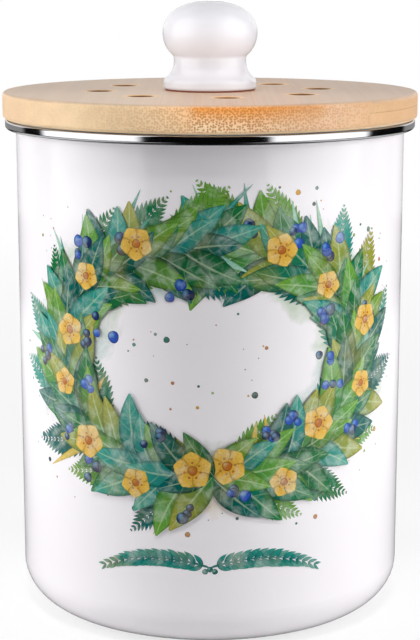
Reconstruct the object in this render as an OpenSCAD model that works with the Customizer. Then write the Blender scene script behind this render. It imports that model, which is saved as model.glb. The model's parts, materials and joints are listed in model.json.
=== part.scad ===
// Countertop compost caddy: an enamelled steel pail with a folded stainless rim band, a plastic
// liner that hangs in it, and a vented bamboo lid that lifts off by a glazed ceramic knob.
// The lid carries a seal and a charcoal filter. Millimetres, +Z up, front towards -Y,
// origin on the table under the middle of the base.

/* [Pail] */
// Outer diameter of the straight wall
pail_d = 160; // [130:0.5:200]
// Height from the table to the top of the rim band
pail_h = 202.8; // [150:0.1:260]
// Thickness of the enamelled sheet
pail_wall = 1.1; // [0.8:0.05:1.5]
// Outer radius of the bend between wall and base
pail_corner_r = 16.3; // [8:0.1:24]
// Width of the flat ring that the pail stands on
foot_w = 5.5; // [3:0.5:12]
// How far the middle of the base is drawn up
base_rise = 1.5; // [0.8:0.1:3]
// Rounding of the folded hem's outer edges
hem_edge_r = 0.6; // [0.3:0.1:0.8]

/* [Rim band] */
// How far the band stands out from the wall
band_out = 4.4; // [3.8:0.1:7]
// Thickness of the stainless sheet
band_t = 0.8; // [0.5:0.05:1]
// Rounding of the band's lower outer edge
band_low_r = 1.3; // [0.8:0.1:1.6]
// Rounding of the band's upper outer edge
band_top_r = 0.8; // [0.4:0.1:1.2]
// Space between the hem's edge and the inside of the band
hem_clear = 0.1; // [0.05:0.05:0.3]
// Space between the band's inner edges and the wall
band_wall_gap = 0.2; // [0.1:0.05:0.5]

/* [Liner] */
// Space between the pail's wall and the liner at its mouth
liner_gap = 1.7; // [1:0.1:4]
// Wall of the liner
liner_wall = 1.6; // [1.2:0.1:2.5]
// Floor of the liner
liner_floor = 2; // [1.5:0.1:4]
// Draft of the liner's wall, in degrees
liner_draft = 1; // [0.5:0.1:2]
// Outer radius of the liner's lower edge
liner_corner_r = 14; // [8:0.5:20]
// Space between the liner's floor and the pail's base
liner_base_gap = 2; // [1:0.5:8]
// Thickness of the flange that hangs on the rim band
liner_flange_t = 1.35; // [1:0.05:2.5]
// How far the flange's edge stays inside the band's outer face
liner_flange_inset = 2.1; // [1.5:0.1:3]
// Rounding of the liner's mouth
liner_mouth_r = 0.8; // [0.4:0.1:1]
// Width of each lifting lug
lug_w = 24; // [16:1:40]
// Thickness of each lifting lug
lug_t = 2.4; // [1.6:0.1:4]
// Rounding of each lug's corners
lug_corner_r = 4; // [2:0.5:7]
// Height of the lip under each lug's inner edge
lug_lip_h = 3; // [1:0.5:5]
// Depth of the lugs below the top of the band
lug_drop = 31; // [26:1:50]
// Space between a lug and the filter cap as it comes down
lug_clear = 1.4; // [0.5:0.1:3]

/* [Lid board] */
// Thickness of the bamboo board
lid_t = 10.8; // [8:0.1:18]
// How far the board reaches beyond the rim band
lid_overhang = 0.9; // [0:0.1:4]
// Space between the rim band and the board
lid_gap = 0.4; // [0.2:0.1:1]
// Rounding of the board's upper edge
lid_top_r = 1.5; // [0.5:0.1:3.5]
// Rounding of the board's lower edge
lid_low_r = 1.6; // [0.5:0.1:1.8]
// Space between the liner's flange and the rebate that holds it
rebate_clear = 0.6; // [0.3:0.1:1]
// Number of vents
vent_count = 8; // [4:1:10]
// Diameter of each vent
vent_d = 10.5; // [4:0.5:13]
// Angle of the first vent from +X
vent_phase = 8.4; // [0:0.1:45]
// Width of the small chamfer round each vent
vent_edge = 0.5; // [0.2:0.1:1]
// Distance from a vent's edge to the filter housing's flange
vent_inset = 1.85; // [1:0.05:4]

/* [Lid spigot and seal] */
// Space between the spigot and the liner's mouth
spigot_gap = 3.6; // [2.5:0.1:5]
// Width of the spigot ring
spigot_w = 10; // [7:0.5:14]
// Depth of the spigot ring
spigot_h = 12; // [10:0.5:20]
// Rounding of the spigot's lower outer edge
spigot_edge_r = 1.5; // [0.5:0.1:2.5]
// Height of the seal in its groove
seal_h = 5; // [4:0.5:6]
// Depth of the seal's groove
seal_depth = 2.6; // [2:0.1:3.5]
// Space between the seal and the bottom of its groove
seal_clear = 0.1; // [0.05:0.05:0.3]
// Height of the groove above the spigot's lower face
seal_lift = 3.4; // [2.5:0.1:4]
// Thickness of each sealing fin
fin_t = 0.9; // [0.6:0.1:1.4]
// How far each fin's tip rises above its root
fin_rise = 0.6; // [0:0.1:1]
// Space between the fins and the liner's wall
fin_clear = 0.4; // [0.3:0.05:1]

/* [Filter] */
// Space between the spigot and the filter housing
housing_gap = 0.4; // [0.3:0.1:1]
// Wall of the housing
housing_wall = 2.1; // [1.5:0.1:3]
// Height of the housing
housing_h = 11.5; // [11:0.1:16]
// Thickness of the housing's flange
housing_flange_t = 2; // [1.5:0.1:3]
// Width of the housing's flange, wall included
housing_flange_w = 9; // [8:0.5:12]
// Space between the housing and the cap's skirt
cap_gap = 0.3; // [0.2:0.05:0.6]
// Thickness of the cap's grille plate
cap_t = 2; // [1.5:0.1:3]
// Thickness of the cap's skirt
skirt_t = 1.8; // [1.2:0.1:2.5]
// Height of the cap's skirt
skirt_h = 6.2; // [4:0.1:6.5]
// Width of each grille slot
slot_w = 4.5; // [3:0.1:6]
// Distance from slot to slot
slot_pitch = 8; // [7.5:0.1:10]
// Solid border of the grille, inside the skirt
grille_border = 3; // [2:0.5:8]
// Width of the grille's middle bar
grille_bar_w = 7; // [5:0.5:10]
// Radius of the cap's pull tab
tab_r = 13; // [8:0.5:16]
// Depth of the pull tab below the grille
tab_h = 7; // [4:0.5:8]
// Thickness of the pull tab
tab_t = 3; // [2:0.1:4]
// Thickness of the charcoal filter
filter_t = 6; // [4:0.1:6]
// Space between the filter and the cap's skirt
filter_gap = 0.4; // [0.3:0.1:2]
// Number of housing screws
screw_count = 4; // [2:1:6]
// Diameter of a housing screw
screw_d = 3; // [2:0.1:3.2]
// Length of a housing screw under its head
screw_l = 8; // [6:0.5:9]
// Diameter of a housing screw's head
screw_head_d = 5.6; // [4.5:0.1:6]
// Height of a housing screw's head
screw_head_h = 1.9; // [1.2:0.1:1.9]
// Radial space round a screw in its hole
screw_clear = 0.05; // [0.05:0.05:0.2]

/* [Knob] */
// Largest diameter of the knob
knob_d = 39; // [32:0.5:48]
// Diameter of the knob's neck
neck_d = 29.8; // [26:0.2:32]
// Diameter of the knob's foot
foot_d = 38.6; // [34:0.2:42]
// Height of the neck's lower end above the foot's lower face
neck_z = 11; // [10:0.1:12]
// Height of the neck's straight part
neck_h = 1.4; // [0.4:0.1:3]
// Height of the widest point above the foot's lower face
bulb_z = 22.8; // [22:0.1:30]
// Height of the dome above the widest point
dome_h = 12.9; // [9:0.1:16]
// Fullness of the dome: 2 is an ellipse, more is squarer
dome_power = 2.2; // [2:0.1:2.8]
// Radius of the hollow between the neck and the foot
neck_r = 7.9; // [6:0.1:9]
// Radius of the hollow between the neck and the bulb
bulb_hollow_r = 2; // [1:0.1:4]
// Rounding of the foot's upper edge
foot_top_r = 2.6; // [1:0.1:3]
// Rounding of the foot's lower edge
foot_low_r = 1.2; // [0.3:0.1:1.3]
// Thickness of the gasket under the knob
gasket_t = 0.5; // [0.4:0.1:2]
// How far the gasket's edge stays inside the knob's foot
gasket_inset = 0.9; // [0.2:0.1:2]
// Diameter of the bolt's thread
bolt_d = 5; // [4:0.5:6]
// Radial space round the bolt in the board
bolt_clear = 0.3; // [0.2:0.1:0.6]
// Radial space round the bolt in the insert
thread_clear = 0.05; // [0.05:0.05:0.1]
// How far the bolt reaches into the knob
bolt_reach = 12; // [8:0.5:16]
// Diameter of the bolt's head
bolt_head_d = 9.5; // [8:0.5:12]
// Height of the bolt's head
bolt_head_h = 3.2; // [2.5:0.1:3.2]
// Diameter of the washer
washer_d = 20; // [14:1:26]
// Thickness of the washer
washer_t = 1.2; // [0.8:0.1:1.5]
// Diameter of the brass insert
insert_d = 9; // [7.5:0.5:12]
// Length of the brass insert
insert_l = 14; // [10:0.5:17]
// Space round the insert for cement
cement_gap = 0.3; // [0.2:0.1:0.6]
// Number of grooves round the insert that the cement keys into
key_count = 3; // [2:1:4]
// Width of each of those grooves
key_w = 1; // [0.5:0.1:1.5]
// Depth of each of those grooves
key_depth = 0.5; // [0.3:0.1:0.8]

/* [Hidden] */
$fn = 96;
// Overrun of a cut past the face that it goes through
cut = 1;

pail_r = pail_d / 2;
pail_ir = pail_r - pail_wall;
stand_r = pail_r - pail_corner_r;
rise_r = stand_r - foot_w;

// The hem is the sheet folded back on itself, and the band is bent round it
hem_t = 2 * pail_wall;
hem_top = pail_h - band_t;
hem_z = hem_top - hem_t;
band_r = pail_r + band_out;
band_ir = pail_r + band_wall_gap;
band_z = hem_z - band_t;
hem_r = band_r - band_t - hem_clear;

liner_r = pail_ir - liner_gap;
liner_mouth = liner_r - liner_wall;
liner_z = pail_wall + base_rise + liner_base_gap;
liner_flange_r = band_r - liner_flange_inset;

lid_r = band_r + lid_overhang;
lid_z = pail_h + lid_gap;
lid_seat_z = pail_h + liner_flange_t;
lid_top = lid_z + lid_t;
rebate_r = liner_flange_r + rebate_clear;

spigot_r = liner_mouth - spigot_gap;
spigot_ir = spigot_r - spigot_w;
spigot_z = lid_seat_z - spigot_h;
groove_z = spigot_z + seal_lift;
groove_r = spigot_r - seal_depth;
fin_r = liner_inner(groove_z) - fin_clear;

housing_r = spigot_ir - housing_gap;
housing_ir = housing_r - housing_wall;
housing_z = lid_seat_z - housing_h;
housing_open_r = housing_r - housing_flange_w;
vent_ring_r = housing_open_r - vent_inset - vent_d / 2;
screw_ring_r = (housing_open_r + housing_ir) / 2;
screw_seat_z = lid_seat_z - housing_flange_t;

cap_r = housing_r;
cap_z = housing_z - cap_t;
skirt_r = housing_ir - cap_gap;
skirt_ir = skirt_r - skirt_t;
grille_r = skirt_ir - grille_border;
filter_r = skirt_ir - filter_gap;

lug_z = pail_h - lug_drop;
lug_ir = cap_r + lug_clear;

knob_z = lid_top + gasket_t;
washer_z = lid_seat_z - washer_t;
insert_r = insert_d / 2;
neck_centre = [neck_d / 2 + neck_r, neck_z];
// The underside of the bulb is an arc that meets the hollow under it without a corner
bulb_hollow = [neck_d / 2 + bulb_hollow_r, neck_z + neck_h];
hollow_past = bulb_hollow.x - knob_d / 2;
hollow_rise = bulb_z - bulb_hollow.y;
bulb_r = (hollow_past ^ 2 + hollow_rise ^ 2 - bulb_hollow_r ^ 2) / (2 * (bulb_hollow_r - hollow_past));
bulb_centre = [knob_d / 2 - bulb_r, bulb_z];
// The foot's upper edge is an arc that meets the hollow above it in the same way
foot_arc_x = foot_d / 2 - foot_top_r;
foot_arc_drop = sqrt((neck_r + foot_top_r) ^ 2 - (neck_centre.x - foot_arc_x) ^ 2);
foot_centre = [foot_arc_x, neck_z - foot_arc_drop];

enamel = [0.96, 0.96, 0.97];
bamboo = [0.9, 0.74, 0.54];
pale_plastic = [0.78, 0.8, 0.8];
steel = [0.75, 0.76, 0.78];
brass = [0.8, 0.65, 0.3];

// In the order in which the caddy is put together

// Points along an arc about c, from angle a to angle b
function arc(c, r, a, b, n = 14) =
    [for (i = [0:n]) let (t = a + (b - a) * i / n) c + r * [cos(t), sin(t)]];

// Direction from point p to point q
function heading(p, q) = atan2(q.y - p.y, q.x - p.x);

// Half outline of a drafted cup with a round lower edge, from its axis at the floor to its rim
function cup(r_top, z_top, z_low, corner) =
    let (
        z_wall = z_low + corner * (1 - sin(liner_draft)),
        x = r_top - (z_top - z_wall) * tan(liner_draft) - corner * cos(liner_draft)
    )
    concat(
        [[0, z_low]],
        arc([x, z_low + corner], corner, -90, -liner_draft),
        [[r_top, z_top], [0, z_top]]
    );

// Radius of the liner's inner wall at height z
function liner_inner(z) = liner_mouth - (pail_h - z) * tan(liner_draft);

// Rounds the corner p of a profile when cut from it; side is [1, 1] for an upper right corner
module corner_cut(p, side, r) {
    translate(p - r * side) difference() {
        translate([min(side.x, 0), min(side.y, 0)] * (r + cut)) square(r + cut);
        circle(r);
    }
}

// Puts its children at equal steps on a ring
module on_ring(count, r, phase = 0) {
    for (i = [0:count - 1]) rotate(phase + i * 360 / count) translate([r, 0]) children();
}

// A round-bottomed pot in half section, solid inside, with the middle of its base drawn up
module pot_section(r, top, corner) {
    difference() {
        square([r, top]);
        corner_cut([r, 0], [1, -1], corner);
        polygon([
            [0, -cut],
            [rise_r + cut, -cut],
            [rise_r - base_rise, base_rise],
            [0, base_rise]
        ]);
    }
}

// A pan head that hangs down from its seat at z = 0, and a shank that goes up to a tapered tip
module pan_screw(d, l, head_d, head_h, tip) {
    drive = [0.6 * head_d, 0.14 * head_d, 0.5 * head_h];
    difference() {
        union() {
            rotate_extrude() difference() {
                translate([0, -head_h]) square([head_d / 2, head_h]);
                corner_cut([head_d / 2, -head_h], [1, -1], 0.6 * head_h);
            }
            cylinder(d = d, h = l - tip);
            translate([0, 0, l - tip]) cylinder(d1 = d, d2 = d / 3, h = tip);
        }
        // A cross drive in the head's lower face
        for (a = [0, 90]) rotate(a) translate([-drive.x / 2, -drive.y / 2, -head_h - cut])
            cube(drive + [0, 0, cut]);
    }
}

module pail_shell() {
    color(enamel) rotate_extrude() difference() {
        union() {
            pot_section(pail_r, hem_top, pail_corner_r);
            translate([pail_ir, hem_z]) square([hem_r - pail_ir, hem_t]);
        }
        translate([0, pail_wall]) pot_section(pail_ir, pail_h, pail_corner_r - pail_wall);
        // The sheet bends outwards at the mouth, and the fold's edge is round
        corner_cut([pail_ir, hem_top], [-1, 1], pail_wall);
        corner_cut([hem_r, hem_top], [1, 1], hem_edge_r);
        corner_cut([hem_r, hem_z], [1, -1], hem_edge_r);
    }
}

module rim_band() {
    color(steel) rotate_extrude() difference() {
        translate([band_ir, band_z]) square([band_r - band_ir, pail_h - band_z]);
        translate([band_ir - cut, hem_z]) square([hem_r + hem_clear - band_ir + cut, hem_t]);
        corner_cut([band_r, pail_h], [1, 1], band_top_r);
        corner_cut([band_r, band_z], [1, -1], band_low_r);
    }
}

// One lifting lug in plan, from its rounded inner edge out into the wall
module lug_plan(reach) {
    difference() {
        translate([lug_ir, -lug_w / 2]) square([reach, lug_w]);
        corner_cut([lug_ir, lug_w / 2], [-1, 1], lug_corner_r);
        corner_cut([lug_ir, -lug_w / 2], [-1, -1], lug_corner_r);
    }
}

module liner_bucket() {
    lug_seat_r = liner_inner(lug_z) + liner_wall / 2;
    color(pale_plastic) union() {
        rotate_extrude() difference() {
            union() {
                polygon(cup(liner_r, pail_h, liner_z, liner_corner_r));
                translate([0, pail_h]) square([liner_flange_r, liner_flange_t]);
            }
            polygon(cup(
                liner_mouth,
                pail_h,
                liner_z + liner_floor,
                liner_corner_r - liner_wall
            ));
            translate([0, pail_h - cut]) square([liner_mouth, liner_flange_t + 2 * cut]);
            corner_cut([liner_mouth, lid_seat_z], [-1, 1], liner_mouth_r);
            corner_cut([liner_flange_r, lid_seat_z], [1, 1], liner_flange_t / 2);
        }
        for (side = [0, 180]) rotate(side) intersection() {
            union() {
                translate([0, 0, lug_z - lug_t]) linear_extrude(lug_t) lug_plan(lug_seat_r);
                translate([lug_ir, lug_corner_r - lug_w / 2, lug_z - lug_t - lug_lip_h])
                    cube([lug_t, lug_w - 2 * lug_corner_r, lug_lip_h + lug_t]);
            }
            cylinder(r = lug_seat_r, h = pail_h);
        }
    }
}

module lid_board() {
    color(bamboo) difference() {
        rotate_extrude() difference() {
            translate([0, lid_z]) square([lid_r, lid_t]);
            translate([0, lid_z - cut]) square([rebate_r, lid_seat_z - lid_z + cut]);
            corner_cut([lid_r, lid_top], [1, 1], lid_top_r);
            corner_cut([lid_r, lid_z], [1, -1], lid_low_r);
        }
        on_ring(vent_count, vent_ring_r, vent_phase) {
            translate([0, 0, lid_z]) cylinder(d = vent_d, h = lid_t + cut);
            translate([0, 0, lid_top - vent_edge])
                cylinder(d1 = vent_d, d2 = vent_d + 2 * (vent_edge + cut), h = vent_edge + cut);
        }
        translate([0, 0, lid_z]) cylinder(d = bolt_d + 2 * bolt_clear, h = lid_t + cut);
        on_ring(screw_count, screw_ring_r) translate([0, 0, lid_z])
            cylinder(d = screw_d + 2 * screw_clear, h = screw_seat_z + screw_l + screw_clear - lid_z);
    }
}

module lid_spigot() {
    color(bamboo) rotate_extrude() difference() {
        translate([spigot_ir, spigot_z]) square([spigot_w, spigot_h]);
        translate([groove_r, groove_z]) square([seal_depth + cut, seal_h]);
        corner_cut([spigot_r, spigot_z], [1, -1], spigot_edge_r);
    }
}

// A fin in half section, from inside the seal's root out to its raised tip
module fin_section(z) {
    polygon([
        [spigot_r, z],
        [fin_r, z + fin_rise],
        [fin_r, z + fin_rise + fin_t / 2],
        [spigot_r, z + fin_t]
    ]);
}

module lid_seal() {
    color([0.86, 0.86, 0.84]) rotate_extrude() union() {
        translate([groove_r + seal_clear, groove_z])
            square([seal_depth - seal_clear + fin_t / 2, seal_h]);
        for (z = [groove_z, groove_z + seal_h - fin_t - fin_rise]) fin_section(z);
    }
}

module filter_housing() {
    color(pale_plastic) difference() {
        rotate_extrude() union() {
            translate([housing_ir, housing_z]) square([housing_wall, housing_h]);
            translate([housing_open_r, screw_seat_z]) square([housing_flange_w, housing_flange_t]);
        }
        on_ring(screw_count, screw_ring_r) translate([0, 0, screw_seat_z - cut])
            cylinder(d = screw_d + 2 * screw_clear, h = housing_flange_t + 2 * cut);
    }
}

module housing_screws() {
    color(steel) on_ring(screw_count, screw_ring_r) translate([0, 0, screw_seat_z])
        pan_screw(screw_d, screw_l, screw_head_d, screw_head_h, screw_d);
}

module charcoal_filter() {
    color([0.16, 0.16, 0.17]) translate([0, 0, housing_z]) cylinder(r = filter_r, h = filter_t);
}

// One half slot of the grille: a bar's width from the middle, as long as the round plate allows
module grille_slot(y) {
    reach = sqrt(grille_r ^ 2 - (abs(y) + slot_w / 2) ^ 2) - slot_w / 2;
    start = (grille_bar_w + slot_w) / 2;
    translate([start, y - slot_w / 2]) square([reach - start, slot_w]);
    for (x = [start, reach]) translate([x, y]) circle(d = slot_w);
}

module filter_cap() {
    rows = floor((grille_r - 2 * slot_w) / slot_pitch);
    color(pale_plastic) union() {
        translate([0, 0, cap_z]) linear_extrude(cap_t) difference() {
            circle(cap_r);
            for (i = [-rows:rows]) for (side = [0, 1])
                mirror([side, 0]) grille_slot(i * slot_pitch);
        }
        translate([0, 0, housing_z]) difference() {
            cylinder(r = skirt_r, h = skirt_h);
            translate([0, 0, -cut]) cylinder(r = skirt_ir, h = skirt_h + 2 * cut);
        }
        // A thumb tab: the lower part of a disc that stands across the middle of the grille
        intersection() {
            translate([-tab_t / 2, 0, cap_z - tab_h + tab_r]) rotate([0, 90, 0])
                cylinder(r = tab_r, h = tab_t);
            translate([-tab_t, -tab_r, cap_z - tab_h]) cube([2 * tab_t, 2 * tab_r, tab_h]);
        }
    }
}

// The knob in half section, with z = 0 at its foot's lower face
function knob_section() = concat(
    [[0, 0]],
    arc([foot_d / 2 - foot_low_r, foot_low_r], foot_low_r, -90, 0, 5),
    arc(foot_centre, foot_top_r, 0, heading(foot_centre, neck_centre), 6),
    arc(neck_centre, neck_r, heading(neck_centre, foot_centre) + 360, 180),
    arc(bulb_hollow, bulb_hollow_r, 180, heading(bulb_hollow, bulb_centre), 6),
    arc(bulb_centre, bulb_r, heading(bulb_centre, bulb_hollow), 0),
    [
        for (i = [1:24])
            let (t = 90 * i / 24)
            [knob_d / 2 * cos(t) ^ (2 / dome_power), bulb_z + dome_h * sin(t) ^ (2 / dome_power)]
    ]
);

module knob() {
    color(enamel) translate([0, 0, knob_z]) difference() {
        rotate_extrude() polygon(knob_section());
        translate([0, 0, -cut]) cylinder(r = insert_r + cement_gap, h = insert_l + cement_gap + cut);
    }
}

module knob_insert() {
    color(brass) translate([0, 0, knob_z]) difference() {
        cylinder(r = insert_r, h = insert_l);
        translate([0, 0, -cut]) cylinder(d = bolt_d + 2 * thread_clear, h = insert_l + 2 * cut);
        for (i = [1:key_count])
            translate([0, 0, i * insert_l / (key_count + 1) - key_w / 2]) difference() {
                cylinder(r = insert_r + cut, h = key_w);
                translate([0, 0, -cut]) cylinder(r = insert_r - key_depth, h = key_w + 2 * cut);
            }
    }
}

module knob_gasket() {
    color([0.42, 0.2, 0.14]) translate([0, 0, lid_top]) difference() {
        cylinder(r = foot_d / 2 - gasket_inset, h = gasket_t);
        translate([0, 0, -cut]) cylinder(d = bolt_d + 2 * bolt_clear, h = gasket_t + 2 * cut);
    }
}

module knob_washer() {
    color(steel) translate([0, 0, washer_z]) difference() {
        cylinder(d = washer_d, h = washer_t);
        translate([0, 0, -cut]) cylinder(d = bolt_d + 2 * bolt_clear, h = washer_t + 2 * cut);
    }
}

module knob_bolt() {
    color(steel) translate([0, 0, washer_z])
        pan_screw(bolt_d, knob_z + bolt_reach - washer_z, bolt_head_d, bolt_head_h, bolt_d / 5);
}

pail_shell();
rim_band();
liner_bucket();
lid_board();
lid_spigot();
lid_seal();
filter_housing();
housing_screws();
charcoal_filter();
filter_cap();
knob();
knob_insert();
knob_gasket();
knob_washer();
knob_bolt();
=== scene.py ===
"""A compost caddy: an enamelled steel pail with a fired botanical print, a polished rim band, and a vented
bamboo lid with a glazed knob. The liner, seal, charcoal filter and fasteners are finished too, and show when
the lid is lifted.
"""
import json
import math
import random

import bpy
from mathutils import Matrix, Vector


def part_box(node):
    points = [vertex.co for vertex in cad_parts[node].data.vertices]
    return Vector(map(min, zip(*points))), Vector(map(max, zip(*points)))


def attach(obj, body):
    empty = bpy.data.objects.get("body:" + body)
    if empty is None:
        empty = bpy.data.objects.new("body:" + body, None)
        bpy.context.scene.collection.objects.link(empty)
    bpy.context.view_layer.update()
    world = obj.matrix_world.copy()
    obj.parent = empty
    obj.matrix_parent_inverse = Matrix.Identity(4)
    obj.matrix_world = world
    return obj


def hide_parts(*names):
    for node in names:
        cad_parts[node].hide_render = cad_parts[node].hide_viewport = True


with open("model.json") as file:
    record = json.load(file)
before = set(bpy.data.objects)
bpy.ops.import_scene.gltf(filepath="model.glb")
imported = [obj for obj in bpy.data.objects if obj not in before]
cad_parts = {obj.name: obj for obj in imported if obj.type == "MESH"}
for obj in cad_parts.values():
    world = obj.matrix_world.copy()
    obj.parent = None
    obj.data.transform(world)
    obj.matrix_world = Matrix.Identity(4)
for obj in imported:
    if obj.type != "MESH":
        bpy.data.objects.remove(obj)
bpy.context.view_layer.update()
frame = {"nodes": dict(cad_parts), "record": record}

MILLIMETRE = 0.001


# -------- helpers

def mm(length):
    """A length in millimetres as metres."""
    return length * MILLIMETRE


def linear(hex_colour):
    """An sRGB hex colour as a linear RGBA tuple."""
    channels = [int(hex_colour[i:i + 2], 16) / 255 for i in (1, 3, 5)]
    return (*[c / 12.92 if c <= 0.04045 else ((c + 0.055) / 1.055) ** 2.4 for c in channels], 1.0)


def grey(level):
    """A neutral linear colour."""
    return (level, level, level, 1.0)


def per_mm(size):
    """A texture's scale, on places in metres, that gives features of this many millimetres."""
    return 1 / mm(size)


def add(tree, kind, inputs=(), stops=(), **settings):
    """Adds a node with its settings. inputs is a list in the order of the sockets in use, or a dictionary by
    their names. Each is a value, another node's output, or a node, which stands for its first output in use.
    stops are a colour ramp's (position, colour) pairs."""
    node = tree.nodes.new("ShaderNode" + kind)
    for name, value in settings.items():
        setattr(node, name, value)
    if isinstance(inputs, dict):
        filled = [(node.inputs[name], value) for name, value in inputs.items()]
    else:
        filled = zip([socket for socket in node.inputs if socket.enabled], inputs)
    for socket, value in filled:
        if isinstance(value, bpy.types.Node):
            value = next(output for output in value.outputs if output.enabled)
        if isinstance(value, bpy.types.NodeSocket):
            tree.links.new(value, socket)
        else:
            socket.default_value = value
    if stops:
        elements = node.color_ramp.elements
        for element, (position, colour) in zip(elements, stops):
            element.position, element.color = position, colour
        for position, colour in stops[len(elements):]:
            elements.new(position).color = colour
    return node


def blank_material(name):
    """An empty material, its node tree, and the place on the object in metres."""
    material = bpy.data.materials.new(name)
    material.use_nodes = True
    tree = material.node_tree
    tree.nodes.clear()
    return material, tree, add(tree, "TexCoord").outputs["Object"]


def put_in_scene(name, data):
    """A new object with this data."""
    thing = bpy.data.objects.new(name, data)
    bpy.context.scene.collection.objects.link(thing)
    return thing


# -------- camera, lamps and floor

CAMERA_PLACE = (0, mm(-721.52), mm(262.6))
CAMERA_PITCH = 11.41  # degrees below the horizon
CAMERA_LENS = 97.66   # mm on a 36 mm sensor

# What the metal and the glazes reflect
STUDIO_FRONT = 0.003  # the dark studio behind the camera
STUDIO_CARD = 1.6     # the white cards at the front left and right
STUDIO_BACK = 0.95    # the pale backdrop above the horizon
STUDIO_LOW = 0.30     # the backdrop's foot
STUDIO_TOP = 0.25     # the ceiling
FOOT_HEIGHTS = (-0.03, 0.04)   # sines of the elevations over which the foot turns into the backdrop
TOP_HEIGHTS = (0.80, 0.95)     # and the sides into the ceiling
# What stands round the caddy: the angle in degrees where it begins, from the back over the left (-), the
# front (0) and the right (+) to the back again, and the share of backdrop and of card there
SURROUND = ((-180, 1, 0), (-128, 0, 0), (-107, 0, 1), (-41, 0, 0), (31, 0, 1), (94, 0, 0), (134, 1, 0))
SURROUND_EDGE = 5     # degrees over which each fades into the next

# The plain fill that lights the caddy
FILL_FRONT = 0.02
FILL_HORIZON = 1.10
FILL_TOP = 0.22
FILL_TURN = (-0.75, -0.1)   # Y of the directions over which the front's fill turns into the horizon's

# name, azimuth and elevation in degrees, distance, width and height in mm, radiance
SOFTBOXES = (
    ("left_softbox", -92, 0, 1000, 620, 1100, 6.2),
    ("right_softbox", 80, 0, 1000, 620, 1100, 5.7),
    ("top_softbox", 0, 58, 1100, 900, 500, 0.85),
)
SOFTBOX_AIM = (0, 0, 120)   # mm

# name, elevation in degrees, distance in mm, what it aims at in mm, cone in degrees, radius in mm, watts
SPOTS = (
    ("knob_spot", 2, 900, (0, 0, 235), 5.6, 12, 23.0),
    ("wall_spot", 72, 1000, (0, -80, 86), 13.0, 130, 36.0),
)

FLOOR_RADIUS = 1200
FLOOR_SEGMENTS = 96
FLOOR_WHITE = "#F4F4F5"
FLOOR_BOUNCE = 0.75   # its albedo for the light that it sends to the caddy
FLOOR_GLOSS = 0.005   # its level in reflections
FLOOR_SIDE_GLOSS = 0.75      # and there at either side of the caddy, which lights the pail's flanks
SIDE_STARTS = (120, 320)     # mm to the side over which it rises to that
SIDE_ENDS = (550, 800)       # mm from the middle over which it falls again
BACKDROP_STARTS = (250, 1000)   # mm from the middle over which the floor fades into the white backdrop
BACKDROP_SHARE = 0.72        # how white it is before that


def set_camera():
    camera = put_in_scene("camera", bpy.data.cameras.new("camera"))
    camera.location = CAMERA_PLACE
    camera.rotation_euler = (math.radians(90 - CAMERA_PITCH), 0, 0)
    camera.data.lens = CAMERA_LENS
    camera.data.sensor_width = 36
    camera.data.sensor_fit = "AUTO"
    camera.data.clip_start = mm(10)
    bpy.context.scene.camera = camera


def ray_is_any(tree, *names):
    """A factor of 1 for the kinds of ray named by Light Path's outputs."""
    path = add(tree, "LightPath")
    total = path.outputs[names[0]]
    for name in names[1:]:
        total = add(tree, "Math", [total, path.outputs[name]], operation="MAXIMUM")
    return total


def studio_in_reflections(tree, direction):
    """The backdrop, cards and dark front, by direction."""
    forward = add(tree, "Math", [direction.outputs["Y"], -1.0], operation="MULTIPLY")
    azimuth = add(tree, "Math", [direction.outputs["X"], forward], operation="ARCTAN2")
    turn = add(tree, "MapRange", [azimuth, -math.pi, math.pi])
    stops = []
    for start, back, card in SURROUND:
        if stops:
            stops.append((0.5 + start / 360, stops[-1][1]))
        stops.append((0.5 + (start + SURROUND_EDGE) / 360, (back, card, 0, 1)))
    around = add(tree, "SeparateColor", [add(tree, "ValToRGB", [turn], stops)])
    sky = add(tree, "MapRange", [direction.outputs["Z"], *FOOT_HEIGHTS, STUDIO_LOW, STUDIO_BACK])
    backdrop = add(tree, "Math", [around.outputs["Red"], sky], operation="MULTIPLY")
    cards = add(tree, "Math", [around.outputs["Green"], STUDIO_CARD, STUDIO_FRONT], operation="MULTIPLY_ADD")
    sides = add(tree, "Math", [backdrop, cards], operation="ADD")
    overhead = add(tree, "MapRange", [direction.outputs["Z"], *TOP_HEIGHTS])
    return add(tree, "Mix", [overhead, sides, grey(STUDIO_TOP)], data_type="RGBA")


def set_world():
    """White for the camera, the studio for reflections, and a plain soft fill for light."""
    world = bpy.data.worlds.new("studio")
    bpy.context.scene.world = world
    world.use_nodes = True
    tree = world.node_tree
    tree.nodes.clear()
    direction = add(tree, "SeparateXYZ", [add(tree, "TexCoord").outputs["Generated"]])
    around = add(tree, "MapRange", [direction.outputs["Y"], *FILL_TURN, FILL_FRONT, FILL_HORIZON])
    fill = add(tree, "Mix", [direction.outputs["Z"], around, grey(FILL_TOP)], data_type="RGBA")
    studio = studio_in_reflections(tree, direction)
    lit = add(tree, "Mix", [ray_is_any(tree, "Is Glossy Ray"), fill, studio], data_type="RGBA")
    direct = ray_is_any(tree, "Is Camera Ray", "Is Transmission Ray")
    seen = add(tree, "Mix", [direct, lit, grey(1)], data_type="RGBA")
    add(tree, "OutputWorld", [add(tree, "Background", [seen])])


def aim_lamp(lamp, azimuth, elevation, distance, target):
    """Places a lamp so that it shines at its target from this direction, kept out of reflections."""
    turn, lift = math.radians(azimuth), math.radians(elevation)
    away = (math.sin(turn) * math.cos(lift), -math.cos(turn) * math.cos(lift), math.sin(lift))
    placed = put_in_scene(lamp.name, lamp)
    placed.location = [mm(start + distance * part) for start, part in zip(target, away)]
    placed.rotation_euler = (math.radians(90 - elevation), 0, turn)
    placed.visible_glossy = False


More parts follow.
